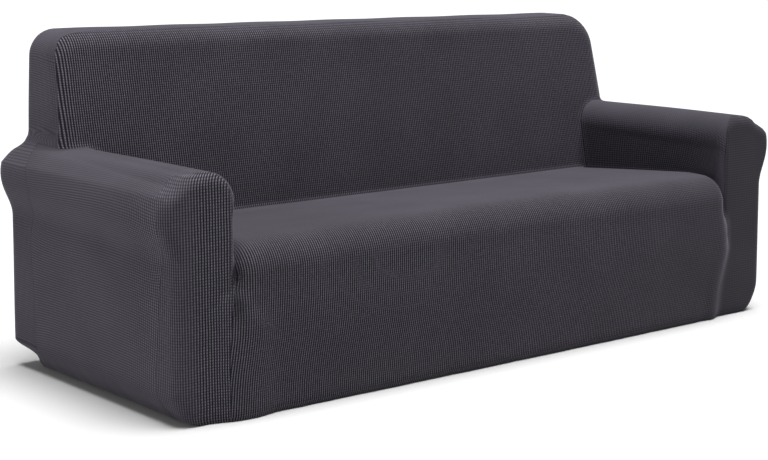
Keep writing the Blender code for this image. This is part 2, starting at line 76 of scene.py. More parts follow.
BACK_HALF = {-1: 0.976, 1: 0.990}     # the back's sides from the middle, down at the arms
BACK_TAPER = {-1: 0.045, 1: 0.085}    # how much less that is for each metre up
BACK_WITHIN = 0.100        # how much narrower the back is down between the arms
BACK_TOP = 0.873           # height of the back, at the middle
BACK_DROP = 0.012          # how much lower its top is for each metre to the right
BACK_CORNER = {-1: 0.068, 1: 0.092}    # rounding of the back's top corners, left and right
BACK_EDGE = 0.045          # rounding between the inside back and its sides
BACK_FOOT = 0.150          # depth of the inside back where it meets the seat
BACK_LEAN = 0.200          # how far it leans back for each metre up
BACK_CROWN = 0.008

SEAT_TUCK = 0.390          # seat height at the tuck against the back
SEAT_RISE = 0.075          # how much the seat rises for each metre forward
SEAT_CROWN = 0.010
SEAT_REACH = 0.434         # front of the seat, in front of the middle
SKIRT_REACH = 0.418        # front of the skirt at its hem
SEAT_CORNER = 0.045        # rounding of the seat's two ends
SEAT_END = 0.868           # the seat's two ends from the middle, inside the arms
SEAT_NARROW = 0.010        # how much nearer they come at the front
SEAT_NARROW_FROM = -0.25   # depth at which they begin to
SEAT_NARROW_RUN = 0.13     # over what distance
SKIRT_TOP = 0.280          # height at which the skirt begins to run up into the seat
SKIRT_RUN = 0.060          # over what height it does
SKIRT_BOW = 0.004          # how much it bows forward between its ends
SEAT_NOSE = 0.080          # rounding of the seat's front edge

TUCK_FILLET = 0.009        # tight tucks round the seat and inside the arms
SHOULDER_FILLET = 0.035    # hollow where an arm runs into the side of the back
SHOULDER_FROM = 0.20       # depth at which the tuck begins to open into that hollow
SHOULDER_RUN = 0.10        # over what distance it does
SKIRT_BLEND = {-1: 0.060, 1: 0.035}   # blend of the skirt's ends into the arm fronts, left and right
BACK_RIM = 0.030           # rounding round the outside back
HEM_ROUND = 0.035          # rounding all along the hem
HEM_BELOW = 0.014          # where that rounding would end, below the hem
TURN_HEIGHT = 0.088        # height at which the sides and the rear start to turn in
SIDE_TURN = 0.046          # how far they have turned in at the hem
CORNER_HEIGHT = 0.074      # the rear corners start to turn in lower down
CORNER_DROP = 0.052        # and have done so over this height
CORNER_TURN = 0.047        # how far they turn in
CORNER_START = (0.88, 0.26)    # outward, and behind the middle, where a rear corner begins
CORNER_RUN = 0.11          # over what distance it comes in

TO_MIDDLE = np.array([0.0, 0.016, 0.0])    # from the middle of the arms, where the sizes start, to the origin

print("over the rolls:", round(ROLL_OUTER[-1] + ROLL_OUTER[1] + 2.0 * ROLL_RADIUS, 3), "m")

# %% [markdown]
# ## Where the seams run
# The cover is cut from seven panels. Where their seams run decides how the weave runs, so each seam
# is a short table of places that it passes, read off the real thing. A smooth curve goes through
# them, and where two forms meet, such as the seat and an arm, the seam is drawn into the crease.
#
# The cloth needs many more points than the solids have, to bend softly. FINER says how many times
# closer together they lie, so that on a seam every fourth point is still a point of the solid.

# %% Places that the seams pass
FINER = 4

# Each row is a place that a seam passes, and the number of grid steps from it to the next row.

# outward, height, depth of the seam round the arm front, steps
ARM_INSIDE = (
    (0.866, 0.320, -0.402, 2),
    (0.869, 0.380, -0.404, 3),
    (0.867, 0.500, -0.404, 3),
    (0.880, 0.570, -0.400, 3),
    (0.923, 0.597, -0.378, 2),
    (0.955, 0.590, -0.357, 0),
)
ARM_OUTSIDE = (
    (0.955, 0.590, -0.357, 2),
    (0.992, 0.573, -0.338, 3),
    (1.040, 0.540, -0.360, 2),
    (1.053, 0.490, -0.374, 2),
    (1.034, 0.425, -0.360, 2),
    (1.020, 0.365, -0.343, 3),
    (1.024, 0.200, -0.325, 3),
    (1.020, 0.060, -0.313, 2),
    (0.985, 0.000, -0.318, 0),
)
# outward, depth, height, steps: the tuck between the seat and the inside arm, from the front
SEAT_SIDE = (
    (0.866, -0.402, 0.320, 2),
    (0.857, -0.382, 0.368, 2),
    (0.855, -0.345, 0.402, 2),
    (0.856, -0.220, 0.405, 3),
    (0.856, 0.000, 0.392, 3),
    (0.856, 0.155, 0.382, 0),
)
# the same columns: the tuck between the inside arm and the inside back, from the seat up
BACK_SIDE = (
    (0.856, 0.155, 0.382, 4),
    (0.853, 0.178, 0.520, 3),
    (0.872, 0.190, 0.575, 3),
    (0.925, 0.194, 0.597, 2),
    (0.971, 0.226, 0.605, 0),
)
# the same columns: where the top of the arm runs into the side of the back, up to the sleeve's end
SHOULDER = (
    (0.971, 0.226, 0.605, 1),
    (0.976, 0.318, 0.596, 0),
)
# the same columns: on from there to the outside back, inside one panel
SHOULDER_BACK = (
    (0.976, 0.318, 0.596, 1),
    (0.976, 0.338, 0.595, 1),
    (0.976, 0.358, 0.594, 1),
    (0.976, 0.400, 0.588, 0),
)
# outward, height, depth, steps: seam at the rear of the sleeve, from the shoulder down
ARM_REAR = (
    (0.976, 0.596, 0.318, 5),
    (1.053, 0.535, 0.248, 2),
    (1.062, 0.490, 0.240, 2),
    (1.050, 0.440, 0.257, 2),
    (1.030, 0.378, 0.281, 3),
    (1.032, 0.213, 0.274, 3),
    (1.034, 0.060, 0.270, 2),
    (0.985, 0.000, 0.275, 0),
)
# height, outward on the left, outward on the right, steps: seam of the skirt and the arm front
SKIRT_SIDE = (
    (0.320, 0.864, 0.866, 2),
    (0.200, 0.885, 0.878, 2),
    (0.100, 0.889, 0.854, 2),
    (0.000, 0.890, 0.846, 0),
)
# height, depth: the seam up the two sides of the inside back
BACK_SEAM = (
    (0.605, 0.226),
    (0.660, 0.227),
    (0.740, 0.233),
    (0.810, 0.242),
    (0.850, 0.255),
    (0.873, 0.272),
)
BACK_SEAM_TOP = {-1: 0.279, 1: 0.262}    # its depth along the top, left and right
SEAT_STEPS = sum(row[-1] for row in SEAT_SIDE)
CORNER_STEPS = sum(row[-1] for row in SHOULDER_BACK)
ARM_CORNER_INNER = 8       # steps up the arm-front seam to the inner top corner of the arm front
ARM_CORNER_OUTER = 18      # and on round to its outer top corner
BACK_RISE_STEPS = 5        # steps up the side of the back, above the arm
BACK_ARC_STEPS = 2         # steps round half of its top corner
WIDE_STEPS = 24            # steps across the sofa
BACK_ARC = (70.0, 45.0)    # how far round the top corner the seam and the rear edge run, in degrees
HEM_LEVEL = 0.050          # below this height a point is moved level
SETTLE_ROUNDS = 24         # steps taken to bring a point onto the cover
EVENING = 300              # rounds that even out the grid of a large flat panel
ROUND_EVENING = 6          # the same for a panel that wraps a corner
FINE_EVENING = 10          # rounds that even out a fine grid
HEM_INSIDE = 0.10          # how far inside the hem it is looked for from
ARM_CORE = (0.935, -0.300, 0.480)    # top of an upright line inside the front of the arm

print("rows in the seam tables:", len(ARM_INSIDE + ARM_OUTSIDE + SEAT_SIDE + BACK_SIDE + ARM_REAR))

# %% The form as a function

def ease(value):
    """A smooth step from 0 to 1."""
    value = np.clip(value, 0.0, 1.0)
    return value * value * (3.0 - 2.0 * value)


def round_both(a, b, radius):
    """What lies inside both forms, with their common edge rounded."""
    corner = np.hypot(np.maximum(a + radius, 0.0), np.maximum(b + radius, 0.0))
    return np.minimum(np.maximum(a, b), -radius) + corner


def round_either(a, b, radius):
    """What lies inside either form, with a fillet in the hollow between them."""
    return -round_both(-a, -b, radius)


def skirt_half(x, z):
    """How far out the skirt's left or right end is at each height."""
    high, left, right, _ = np.transpose(SKIRT_SIDE[::-1])
    return np.where(x < 0, np.interp(z, high, left), np.interp(z, high, right))


def turned_in(z, corner):
    """How far a wall has turned in on its way down to the hem; corner is 1 at a rear corner."""
    between = 2.0 * SIDE_TURN * ease(0.5 - 0.5 * z / TURN_HEIGHT)
    at_corner = CORNER_TURN * ease((CORNER_HEIGHT - z) / CORNER_DROP)
    return between + (at_corner - between) * corner


def by_side(pair, x):
    """The value for the left or the right of the sofa."""
    return np.where(x < 0, pair[-1], pair[1])


def arm_form(p):
    out, y, z = np.abs(p[..., 0]), p[..., 1], p[..., 2]
    half = by_side(SIDE_HALF, p[..., 0])
    wall = half + SIDE_BELLY * ease(1.0 - z / ROLL_OUTER_HEIGHT)
    wall = wall - turned_in(z, ease((y - CORNER_START[1]) / CORNER_RUN))
    inner = ARM_INNER - ARM_UNDERCUT * ease((SKIRT_TOP - z) / ARM_UNDERCUT)
    post = np.maximum(np.maximum(inner - out, out - wall), z - ROLL_INNER[1])
    rearward = ease((y + DEPTH_HALF) / (2.0 * DEPTH_HALF))
    radius = ROLL_RADIUS - ROLL_SLIM * rearward
    ax, az = ROLL_INNER
    bx, bz = by_side(ROLL_OUTER, p[..., 0]), ROLL_OUTER_HEIGHT + ROLL_LIFT * rearward
    along = ((out - ax) * (bx - ax) + (z - az) * (bz - az)) / ((bx - ax) ** 2 + (bz - az) ** 2)
    along = np.clip(along, 0.0, 1.0)
    radius = radius + 4.0 * ROLL_BULGE * (1.0 - rearward) * along * (1.0 - along)
    roll = np.hypot(out - ax - along * (bx - ax), z - az - along * (bz - az)) - radius
    fillet = 1e-4 + ROLL_FILLET * ease((out - ax) / (bx - ax))
    section = round_either(post, roll, fillet)
    return round_both(section, -y - DEPTH_HALF, ARM_EDGE)


def back_outline(p):
    x, z = p[..., 0], p[..., 2]
    half = by_side(BACK_HALF, x) - by_side(BACK_TAPER, x) * (z - ROLL_INNER[1])
    half = half - BACK_WITHIN * ease((ROLL_INNER[1] - z) / BACK_WITHIN)
    return round_both(np.abs(x) - half, z - BACK_TOP + BACK_DROP * x, by_side(BACK_CORNER, x))


def back_front(p):
    x, y, z = p[..., 0], p[..., 1], p[..., 2]
    crown = BACK_CROWN * (1.0 - (x / BACK_HALF[1]) ** 2)
    face = BACK_FOOT + BACK_LEAN * (z - SEAT_TUCK) - crown
    return (face - y) / np.hypot(1.0, BACK_LEAN)


def back_form(p):
    return round_both(back_outline(p), back_front(p), BACK_EDGE)


def seat_form(p):
    x, y, z = p[..., 0], p[..., 1], p[..., 2]
    bow = 1.0 - np.clip(x / ARM_INNER, -1.0, 1.0) ** 2
    forward = BACK_FOOT - y
    top = SEAT_TUCK + SEAT_RISE * np.minimum(forward, 0.45)
    top = top + SEAT_CROWN * bow * ease(forward / 0.45)
    low = skirt_half(x, z)
    high = SEAT_END - SEAT_NARROW * ease((SEAT_NARROW_FROM - y) / SEAT_NARROW_RUN)
    end = low + (high - low) * ease((z - SKIRT_TOP) / SKIRT_RUN)
    reach = SKIRT_REACH + (SEAT_REACH - SKIRT_REACH) * ease(z / SKIRT_TOP) + SKIRT_BOW * bow
    nose = round_both(z - top, -y - reach, SEAT_NOSE)
    return round_both(nose, np.abs(x) - end, SEAT_CORNER)


def rear_face(p):
    corner = ease((np.abs(p[..., 0]) - CORNER_START[0]) / CORNER_RUN)
    return p[..., 1] - DEPTH_HALF + turned_in(p[..., 2], corner)


def sides_form(p):
    """Arms, back and seat as one form, before the outside back and the hem are rounded off."""
    x, y, z = p[..., 0], p[..., 1], p[..., 2]
    shoulder = ease((y - SHOULDER_FROM) / SHOULDER_RUN)
    shoulder = TUCK_FILLET + (SHOULDER_FILLET - TUCK_FILLET) * shoulder
    body = round_either(back_form(p), arm_form(p), shoulder)
    skirt = ease((SKIRT_TOP + SKIRT_RUN - z) / SKIRT_RUN)
    tuck = TUCK_FILLET + (by_side(SKIRT_BLEND, x) - TUCK_FILLET) * skirt
    return round_either(body, seat_form(p), tuck)


def cover_form(p):
    body = round_both(sides_form(p), rear_face(p), BACK_RIM)
    return round_both(body, -HEM_BELOW - p[..., 2], HEM_ROUND)


print("middle of the seat is inside:", bool(cover_form(np.array([0.0, 0.0, 0.2])) < 0.0))

# %% Bringing points onto the cloth

def slope(form, p, step=1e-5):
    """Gradient of a form at each point."""
    parts = []
    for axis in np.eye(3) * step:
        parts.append((form(p + axis) - form(p - axis)) / (2.0 * step))
    return np.stack(parts, axis=-1)


def kept_low(lean, p):
    """A gradient laid level near the hem, so that points there keep their height."""
    lean[..., 2] *= ease(p[..., 2] / HEM_LEVEL)
    return lean


def outward(p):
    """Unit normals of the cover at each point."""
    lean = slope(cover_form, p)
    return lean / np.linalg.norm(lean, axis=-1, keepdims=True)


def settle(p, form=cover_form, rounds=SETTLE_ROUNDS):
    """Moves points onto the cover, along its normals."""
    p = np.array(p, float)
    for _ in range(rounds):
        lean = kept_low(slope(form, p), p)
        steep = np.maximum(np.sum(lean * lean, axis=-1), 0.1)
        p = p - (form(p) / steep)[..., None] * lean
    return p


def meet(form_a, form_b, p):
    """Moves points to where two forms cross, and then onto the cover."""
    p = np.array(p, float)
    for _ in range(SETTLE_ROUNDS):
        a, b = kept_low(slope(form_a, p), p), kept_low(slope(form_b, p), p)
        aa, bb, ab = np.sum(a * a, -1), np.sum(b * b, -1), np.sum(a * b, -1)
        da, db = form_a(p), form_b(p)
        under = aa * bb - ab * ab + 1e-6
        p = p - ((da * bb - db * ab) / under)[..., None] * a
        p = p - ((db * aa - da * ab) / under)[..., None] * b
    return settle(settle(p, form=sides_form))


print("a point on the seat:", settle([0.0, -0.2, 0.5]).round(3))

# %% Seams as smooth lines on the cloth

def through(keys, steps):
    """Points on a smooth curve through the keys, FINER times that many steps between each two."""
    keys = np.array(keys, float)
    gaps = np.linalg.norm(np.diff(keys, axis=0), axis=1)
    sides = np.diff(keys, axis=0) / gaps[:, None]
    pull = np.empty_like(keys)
    pull[0], pull[-1] = sides[0], sides[-1]
    share = (gaps[1:] / (gaps[1:] + gaps[:-1]))[:, None]
    pull[1:-1] = sides[:-1] * share + sides[1:] * (1.0 - share)
    points = []
    for i, count in enumerate(np.array(steps) * FINER):
        t = (np.arange(count) / count)[:, None]
        start, end = pull[i] * gaps[i], pull[i + 1] * gaps[i]
        points.append((2 * t ** 3 - 3 * t ** 2 + 1) * keys[i] + (t ** 3 - 2 * t ** 2 + t) * start
                      + (3 * t ** 2 - 2 * t ** 3) * keys[i + 1] + (t ** 3 - t ** 2) * end)
    points.append(keys[-1:])
    return np.concatenate(points)


def on_side(side, points):
    return np.asarray(points) * np.array([side, 1.0, 1.0])


def across(left, right, steps, pinch=0.55):
    """Points from left to right, closer together near both ends."""
    t = np.linspace(0.0, 1.0, steps * FINER + 1)
    t = t - pinch * np.sin(2.0 * np.pi * t) / (2.0 * np.pi)
    return left + (right - left) * t[:, None]


def steps_of(table):
    return [row[-1] for row in table[:-1]]


def seams(side):
    """Every seam line on one side of the sofa, as points on the cover."""
    lines = {}
    tucks = (("seat_side", SEAT_SIDE, seat_form, arm_form),
             ("back_side", BACK_SIDE, arm_form, back_form),
             ("shoulder", SHOULDER, arm_form, back_form),
             ("shoulder_back", SHOULDER_BACK, arm_form, back_form))
    for name, table, form_a, form_b in tucks:
        keys = [row[:3] for row in table]
        lines[name] = meet(form_a, form_b, on_side(side, through(keys, steps_of(table))))
    lines["shoulder_back"][-1] = meet(sides_form, rear_face, on_side(side, SHOULDER_BACK[-1][:3]))

    column = 1 if side < 0 else 2
    skirt = [(row[column], row[0], -DEPTH_HALF - 0.008, row[-1]) for row in SKIRT_SIDE]
    corner = [(out, high, DEPTH_HALF, steps) for out, high, _, steps in ARM_REAR]
    downs = (("arm_front", ARM_INSIDE[:-1] + ARM_OUTSIDE, lines["seat_side"][0]),
             ("skirt_side", skirt, lines["seat_side"][0]),
             ("arm_rear", ARM_REAR, lines["shoulder"][-1]),
             ("corner", corner, lines["shoulder_back"][-1]))
    for name, table, start in downs:
        keys = on_side(side, [(out, depth, high) for out, high, depth, _ in table])
        keys[0] = start
        line = through(keys, steps_of(table))
        lines[name] = meet(sides_form, rear_face, line) if name == "corner" else settle(line)

    rise = np.linspace(SHOULDER[0][2], BACK_TOP - BACK_CORNER[side], BACK_RISE_STEPS * FINER + 1)[:-1]
    rise = np.stack([np.full_like(rise, BACK_HALF[side]), np.zeros_like(rise), rise], -1)
    edges = []
    for angle in BACK_ARC:
        turn = np.linspace(0.0, np.radians(angle), BACK_ARC_STEPS * FINER + 1)
        arc = BACK_CORNER[side] * (np.stack([np.cos(turn), 0.0 * turn, np.sin(turn)], -1) - (1.0, 0.0, 1.0))
        edges.append(on_side(side, np.concatenate([rise, arc + (BACK_HALF[side], 0.0, BACK_TOP)])))
    front, rear = edges
    front[:, 1] = np.interp(front[:, 2], *np.transpose(BACK_SEAM))
    rear[:, 1] = DEPTH_HALF
    lines["back_edge"] = settle(front)
    lines["back_rim"] = meet(sides_form, rear_face, rear)

    knots = {
        "tuck_end": ("seat_side", -1, "back_side", 0),
        "tuck_start": ("seat_side", 0, "arm_front", 0, "skirt_side", 0),
        "shoulder_front": ("back_side", -1, "shoulder", 0, "back_edge", 0),
        "sleeve_end": ("shoulder", -1, "shoulder_back", 0, "arm_rear", 0),
        "shoulder_rear": ("shoulder_back", -1, "back_rim", 0, "corner", 0),
    }
    for chain in knots.values():
        point = lines[chain[0]][chain[1]].copy()
        for name, end in zip(chain[::2], chain[1::2]):
            lines[name][end] = point
    return lines


left_seams, right_seams = seams(-1), seams(1)
print("points on the left arm-front seam:", len(left_seams["arm_front"]))

# %% [markdown]
# ## From seams to panels
# A panel is a grid of points with a seam along each of its four sides. Blending the sides across
# the grid gives a first guess, and settling that onto the form gives the panel. A large flat panel
# is evened out first, so that its rows don't crowd where one side is short.
#
# Working on the coarse grid and making it finer afterwards is quicker than evening a fine one,
# and it keeps the cloth on the same lines as the solid under it.

# %% Grids between four seams

def between(low, high, left, right):
    """Values blended across a grid from the values along its four sides."""
    u = np.linspace(0.0, 1.0, len(low))[None, :, None]
    v = np.linspace(0.0, 1.0, len(left))[:, None, None]
    grid = (1 - v) * low[None] + v * high[None] + (1 - u) * left[:, None] + u * right[:, None]
    grid = grid - (1 - u) * (1 - v) * low[0] - u * (1 - v) * low[-1]
    return grid - (1 - u) * v * high[0] - u * v * high[-1]


def even_out(grid, rounds, settle_rounds=SETTLE_ROUNDS):
    """Draws the points of a grid towards the middle of their neighbours; the four seams stay."""
    for _ in range(rounds):
        grid[1:-1, 1:-1] = (grid[:-2, 1:-1] + grid[2:, 1:-1] + grid[1:-1, :-2] + grid[1:-1, 2:]) / 4.0
    grid[1:-1, 1:-1] = settle(grid[1:-1, 1:-1], rounds=settle_rounds)


def closer(grid):
    """The rows of a grid put FINER times closer together, on smooth curves through them."""
    keys = np.concatenate([2.0 * grid[:1] - grid[1:2], grid, 2.0 * grid[-1:] - grid[-2:-1]])
    t = (np.arange(FINER) / FINER)[:, None, None]
    rows = []
    for a, b, c, d in zip(keys[:-3], keys[1:-2], keys[2:-1], keys[3:]):
        rows.append(b + 0.5 * t * (c - a + t * (2 * a - 5 * b + 4 * c - d + t * (3 * (b - c) + d - a))))
    return np.concatenate(rows + [grid[-1:]])


def made_fine(grid, low, high, left, right):
    """A coarse grid made fine, fitted to its fine seams and settled onto the cover."""
    fine = closer(closer(grid).swapaxes(0, 1)).swapaxes(0, 1)
    fine = fine + between(low - fine[0], high - fine[-1], left - fine[:, 0], right - fine[:, -1])
    fine[0], fine[-1], fine[:, 0], fine[:, -1] = low, high, left, right
    fine[1:-1, 1:-1] = settle(fine[1:-1, 1:-1])
    for _ in range(FINE_EVENING):
        even_out(fine, 1, 5)
    return fine


def patch(low, high, left, right, evening=0, rounds=0):
    """Grid of points between four seams, settled onto the cover; the seams stay as they are."""
    coarse = [line[::FINER] for line in (low, high, left, right)]
    grid = between(*coarse)
    grid[0], grid[-1], grid[:, 0], grid[:, -1] = coarse
    even_out(grid, evening)
    for _ in range(rounds):
        even_out(grid, 1)
    return made_fine(grid, low, high, left, right)


# %% Grids for a panel that wraps a corner

def look_out(root, way):
    """Where the cover is met when looking from the root points along the ways."""
    way = way / np.linalg.norm(way, axis=-1, keepdims=True)
    reach = np.zeros(way.shape[:-1] + (1,))
    for _ in range(80):
        reach = reach - cover_form(root + way * reach)[..., None]
    return root + way * reach


def patch_round(core, low, high, left, right):
    """As patch(), for a panel that wraps an upright core: each point is found looking out from it."""
    coarse = [line[::FINER] for line in (low, high, left, right)]
    sides = []
    for line in coarse:
        root = np.broadcast_to(core, line.shape).copy()
        root[:, 2] = np.minimum(line[:, 2], core[2])
        way = line - root
        sides.append(np.concatenate([root, way / np.linalg.norm(way, axis=1, keepdims=True)], axis=1))
    grid = between(*sides)
    grid = look_out(grid[..., :3], grid[..., 3:])
    grid[0], grid[-1], grid[:, 0], grid[:, -1] = coarse
    for _ in range(ROUND_EVENING):
        even_out(grid, 1)
    return made_fine(grid, low, high, left, right)


def hem(start, end, steps, pinch=0.55):
    """Hem points in front of a straight line between two seams, looking out level from inside."""
    line = across(start, end, steps, pinch)
    way = np.array([end[1] - start[1], start[0] - end[0], 0.0])
    way = way * np.sign(way @ (start + end)) / np.linalg.norm(way)
    line = look_out(line - way * HEM_INSIDE, np.broadcast_to(way, line.shape))
    line[0], line[-1] = start, end
    return line


def hem_round(core, start, end, steps):
    """Hem points round a corner of the sofa, evenly apart."""
    root = np.array([core[0], core[1], 0.0])
    line = look_out(root, across(start, end, 10 * steps, 0.0) - root)
    run = np.concatenate([[0.0], np.cumsum(np.linalg.norm(np.diff(line, axis=0), axis=1))])
    even = np.linspace(0.0, run[-1], steps * FINER + 1)
    line = np.stack([np.interp(even, run, line[:, i]) for i in range(3)], axis=-1)
    line[0], line[-1] = start, end
    return settle(line)


# %% The seven panels

def panel_grids(left, right):
    """The grids of points of every panel, by name."""
    panels = {}
    wide = WIDE_STEPS
    tuck = meet(seat_form, back_form, across(left["seat_side"][-1], right["seat_side"][-1], wide))
    front_hem = hem(left["skirt_side"][-1], right["skirt_side"][-1], wide)
    sides = [np.concatenate([line["seat_side"][::-1], line["skirt_side"][1:]]) for line in (left, right)]
    panels["seat_and_skirt"] = [patch(tuck, front_hem, *sides)]

    top_edge = across(left["back_edge"][-1], right["back_edge"][-1], wide)
    t = np.linspace(0.0, 1.0, len(top_edge))
    share = ease(6.0 * t) * ease(6.0 * (1.0 - t))
    depth = np.linspace(BACK_SEAM_TOP[-1], BACK_SEAM_TOP[1], len(top_edge))
    top_edge[:, 1] += share * (depth - top_edge[:, 1])
    top_edge[:, 2] += share * (BACK_TOP - BACK_DROP * top_edge[:, 0] - top_edge[:, 2])
    top_edge = settle(top_edge)
    sides = [np.concatenate([line["back_side"], line["back_edge"][1:]]) for line in (left, right)]
    panels["inside_back"] = [patch(tuck, top_edge, *sides, EVENING)]

    rim_top = meet(sides_form, rear_face, across(left["back_rim"][-1], right["back_rim"][-1], wide))
    rear_hem = hem(left["corner"][-1], right["corner"][-1], wide)
    sides = [np.concatenate([line["corner"][::-1], line["back_rim"][1:]]) for line in (left, right)]
    rear = patch(rear_hem, rim_top, *sides, EVENING)
    front_loop = np.concatenate([left["back_edge"], top_edge[1:-1], right["back_edge"][::-1]])
    rear_loop = np.concatenate([left["back_rim"], rim_top[1:-1], right["back_rim"][::-1]])
    ends = [np.concatenate([line["shoulder"], line["shoulder_back"][1:]]) for line in (left, right)]
    panels["outside_back"] = [rear, patch(front_loop, rear_loop, *ends)]

    for name, side, line in (("left", -1, left), ("right", 1, right)):
        front = line["arm_front"]
        low_hem = hem(front[-1], line["arm_rear"][-1], SEAT_STEPS, 0.0)
        rear_low = hem(line["arm_rear"][-1], line["corner"][-1], CORNER_STEPS, 0.0)
        strip = patch(line["shoulder_back"], rear_low, line["arm_rear"], line["corner"])
        panels["outside_back"].append(strip)
        behind = np.concatenate([line["back_side"], line["shoulder"][1:], line["arm_rear"][1:]])
        sleeve = patch(line["seat_side"], low_hem, front, behind, 0, ROUND_EVENING)
        panels["arm_sleeve_" + name] = [sleeve]
        turn_in, turn_out = ARM_CORNER_INNER * FINER, ARM_CORNER_OUTER * FINER
        inner = np.concatenate([line["skirt_side"][::-1], front[1:turn_in + 1]])
        outer, top = front[turn_out:][::-1], front[turn_in:turn_out + 1]
        core = on_side(side, ARM_CORE)
        low = hem_round(core, inner[0], outer[0], ARM_CORNER_OUTER - ARM_CORNER_INNER)
        panels["arm_front_" + name] = [patch_round(core, low, top, inner, outer)]
    return panels


panels = panel_grids(left_seams, right_seams)
for name, grids in panels.items():
    print(name, [grid.shape[:2] for grid in grids])

# %% [markdown]
# ## How the weave runs
# The jacquard is a check of small raised dots, about 6 to 8 mm apart, in columns and rows. On the
# real cover they stand upright on the inside back and on the arm fronts, where each panel was cut
# straight. On the skirt, the sleeves and the outside back they follow the seams: they fan out round
# a corner and close up where the cloth is pulled.
#
# A pattern on Object coordinates would do for the upright panels only, so each point gets its own
# place in the weave instead, counted in dots. It is a length of cloth over the distance between two
# dots, and it goes into a UV map.

# %% Places in the weave
# panel: distance between two columns of dots, between two rows, and how the columns are counted
WEAVE = {
    "seat_and_skirt": (0.0065, 0.0060, "from the middle"),
    "inside_back": (0.0066, 0.0062, "upright"),
    "outside_back": (0.0066, 0.0062, "unfolded"),
    "arm_sleeve_left": (0.0072, 0.0064, "along the seams"),
    "arm_sleeve_right": (0.0072, 0.0064, "along the seams"),
    "arm_front_left": (0.0080, 0.0068, "round the arm"),
    "arm_front_right": (0.0080, 0.0068, "round the arm"),
}


def runs(grid, axis):
    """Length of cloth from the first point of each row or column of a grid to its other points."""
    steps = np.linalg.norm(np.diff(grid, axis=axis), axis=-1)
    start = np.zeros_like(np.take(steps, [0], axis=axis))
    return np.concatenate([start, np.cumsum(steps, axis=axis)], axis=axis)


def unfolded(grids):
    """Places on the outside back with its sides and top folded out flat behind the sofa."""
    rear, band, *strips = grids
    flat = [rear[..., ::2].copy()]
    rim = band[-1][:, ::2]
    way = np.gradient(rim, axis=0)
    way = np.stack([-way[:, 1], way[:, 0]], axis=-1) / np.linalg.norm(way, axis=-1, keepdims=True)
    reach = runs(band[::-1], 0)[::-1]
    flat.append(rim[None] + way[None] * reach[..., None])
    for strip in strips:
        edge = strip[:, -1:, ::2]
        reach = runs(strip[:, ::-1], 1)[:, ::-1]
        flat.append(edge + np.stack([np.sign(edge[..., 0]) * reach, np.zeros_like(reach)], axis=-1))
    return flat


def places(name, grids):
    """Column and row of the weave at every point of a panel's grids, counted in dots."""
    wide, high, way = WEAVE[name]
    if way == "unfolded":
        return [flat / np.array([wide, high]) for flat in unfolded(grids)]
    grid = grids[0]
    x, y, z = grid[..., 0], grid[..., 1], grid[..., 2]
    if way == "upright":
        return [np.stack([x / wide, z * np.hypot(1.0, BACK_LEAN) / high], axis=-1)]
    if way == "round the arm":
        return [np.stack([(np.abs(x) + y) / wide, z / high], axis=-1)]
    columns, rows = runs(grid, 1), runs(grid, 0)
    if way == "from the middle":
        columns = columns - columns[:, [grid.shape[1] // 2]]
    else:
        columns = np.broadcast_to(columns.mean(axis=0), columns.shape)
    rows = np.broadcast_to(rows.mean(axis=1, keepdims=True), rows.shape)
    return [np.stack([columns / wide, rows / high], axis=-1)]


weave_places = {name: places(name, grids) for name, grids in panels.items()}
for name, found in weave_places.items():
    print(name, "dots across and along:", np.ptp(found[0].reshape(-1, 2), axis=0).round())

# %% [markdown]
# ## Creases
# Even a cover this tight isn't smooth. The seam between the skirt and each arm front pulls in where
# it runs up into the seat, the hem puckers over its elastic, and a few small dents stay near it.
# These are up to 6 mm deep, so the cloth itself is moved: bump alone would not change the outline or
# cast a shadow. A cloth simulation would make its own folds in other places, so each crease is a
# line that the cloth is drawn in along, and the swell between them is a wave.

# %% Soft creases in the cloth
SWELL = 0.0006             # how far the whole cloth waves in and out
PUCKER = 0.0012            # how far the hem does over its elastic
PUCKER_HEIGHT = 0.030      # how fast that dies away above the hem

# start and end of each crease, how deep it is and how wide
CREASES = (
    ((-0.862, -0.400, 0.345), (-0.880, -0.412, 0.225), 0.0060, 0.012),
    ((0.862, -0.400, 0.340), (0.878, -0.412, 0.240), 0.0030, 0.010),
    ((-0.984, -0.130, 0.008), (-0.990, -0.170, 0.014), 0.0030, 0.012),
    ((-0.984, -0.060, 0.010), (-0.986, -0.085, 0.006), 0.0025, 0.010),
    ((-0.976, 0.250, 0.014), (-0.980, 0.235, 0.004), 0.0030, 0.012),
    ((-0.230, -0.410, 0.006), (-0.180, -0.410, 0.002), 0.0022, 0.014),
    ((-0.700, -0.250, 0.455), (-0.300, -0.300, 0.450), 0.0020, 0.060),
    ((0.300, -0.150, 0.440), (0.700, -0.250, 0.445), 0.0015, 0.050),
)


def crease(p):
    """How far the cloth stands in or out from the form at each point, in metres."""
    x, y, z = p[..., 0], p[..., 1], p[..., 2]
    moved = SWELL * np.sin(23.0 * x + 1.3) * np.sin(17.0 * z + 2.0 + 9.0 * y)
    pucker = np.sin(71.0 * x + 83.0 * y) * np.sin(13.0 * x - 17.0 * y)
    moved = moved + PUCKER * np.exp(-z / PUCKER_HEIGHT) * pucker
    for start, end, depth, wide in CREASES:
        start, run = np.array(start), np.subtract(end, start)
        along = np.clip((p - start) @ run / (run @ run), 0.0, 1.0)
        away = np.linalg.norm(p - start - along[..., None] * run, axis=-1)
        moved = moved - depth * np.exp(-(away / wide) ** 2)
    return moved


for start, end, depth, wide in CREASES:
    print("crease from", start, "to", end, "depth", depth)

# %% [markdown]
# ## Sheets of cloth
# The cloth is about 1.5 mm thick. Each panel becomes a closed thin sheet: its outer face lies on
# the form, its inner face a little inside, and its rim stops just short of the seam. A Solidify
# modifier would do that too, but could not stop one rim short and keep the hem level.

# %% Points and faces of a sheet
CLOTH = 0.0016             # thickness of the cloth
SEAM_GAP = 0.0003          # gap left at a seam between two panels


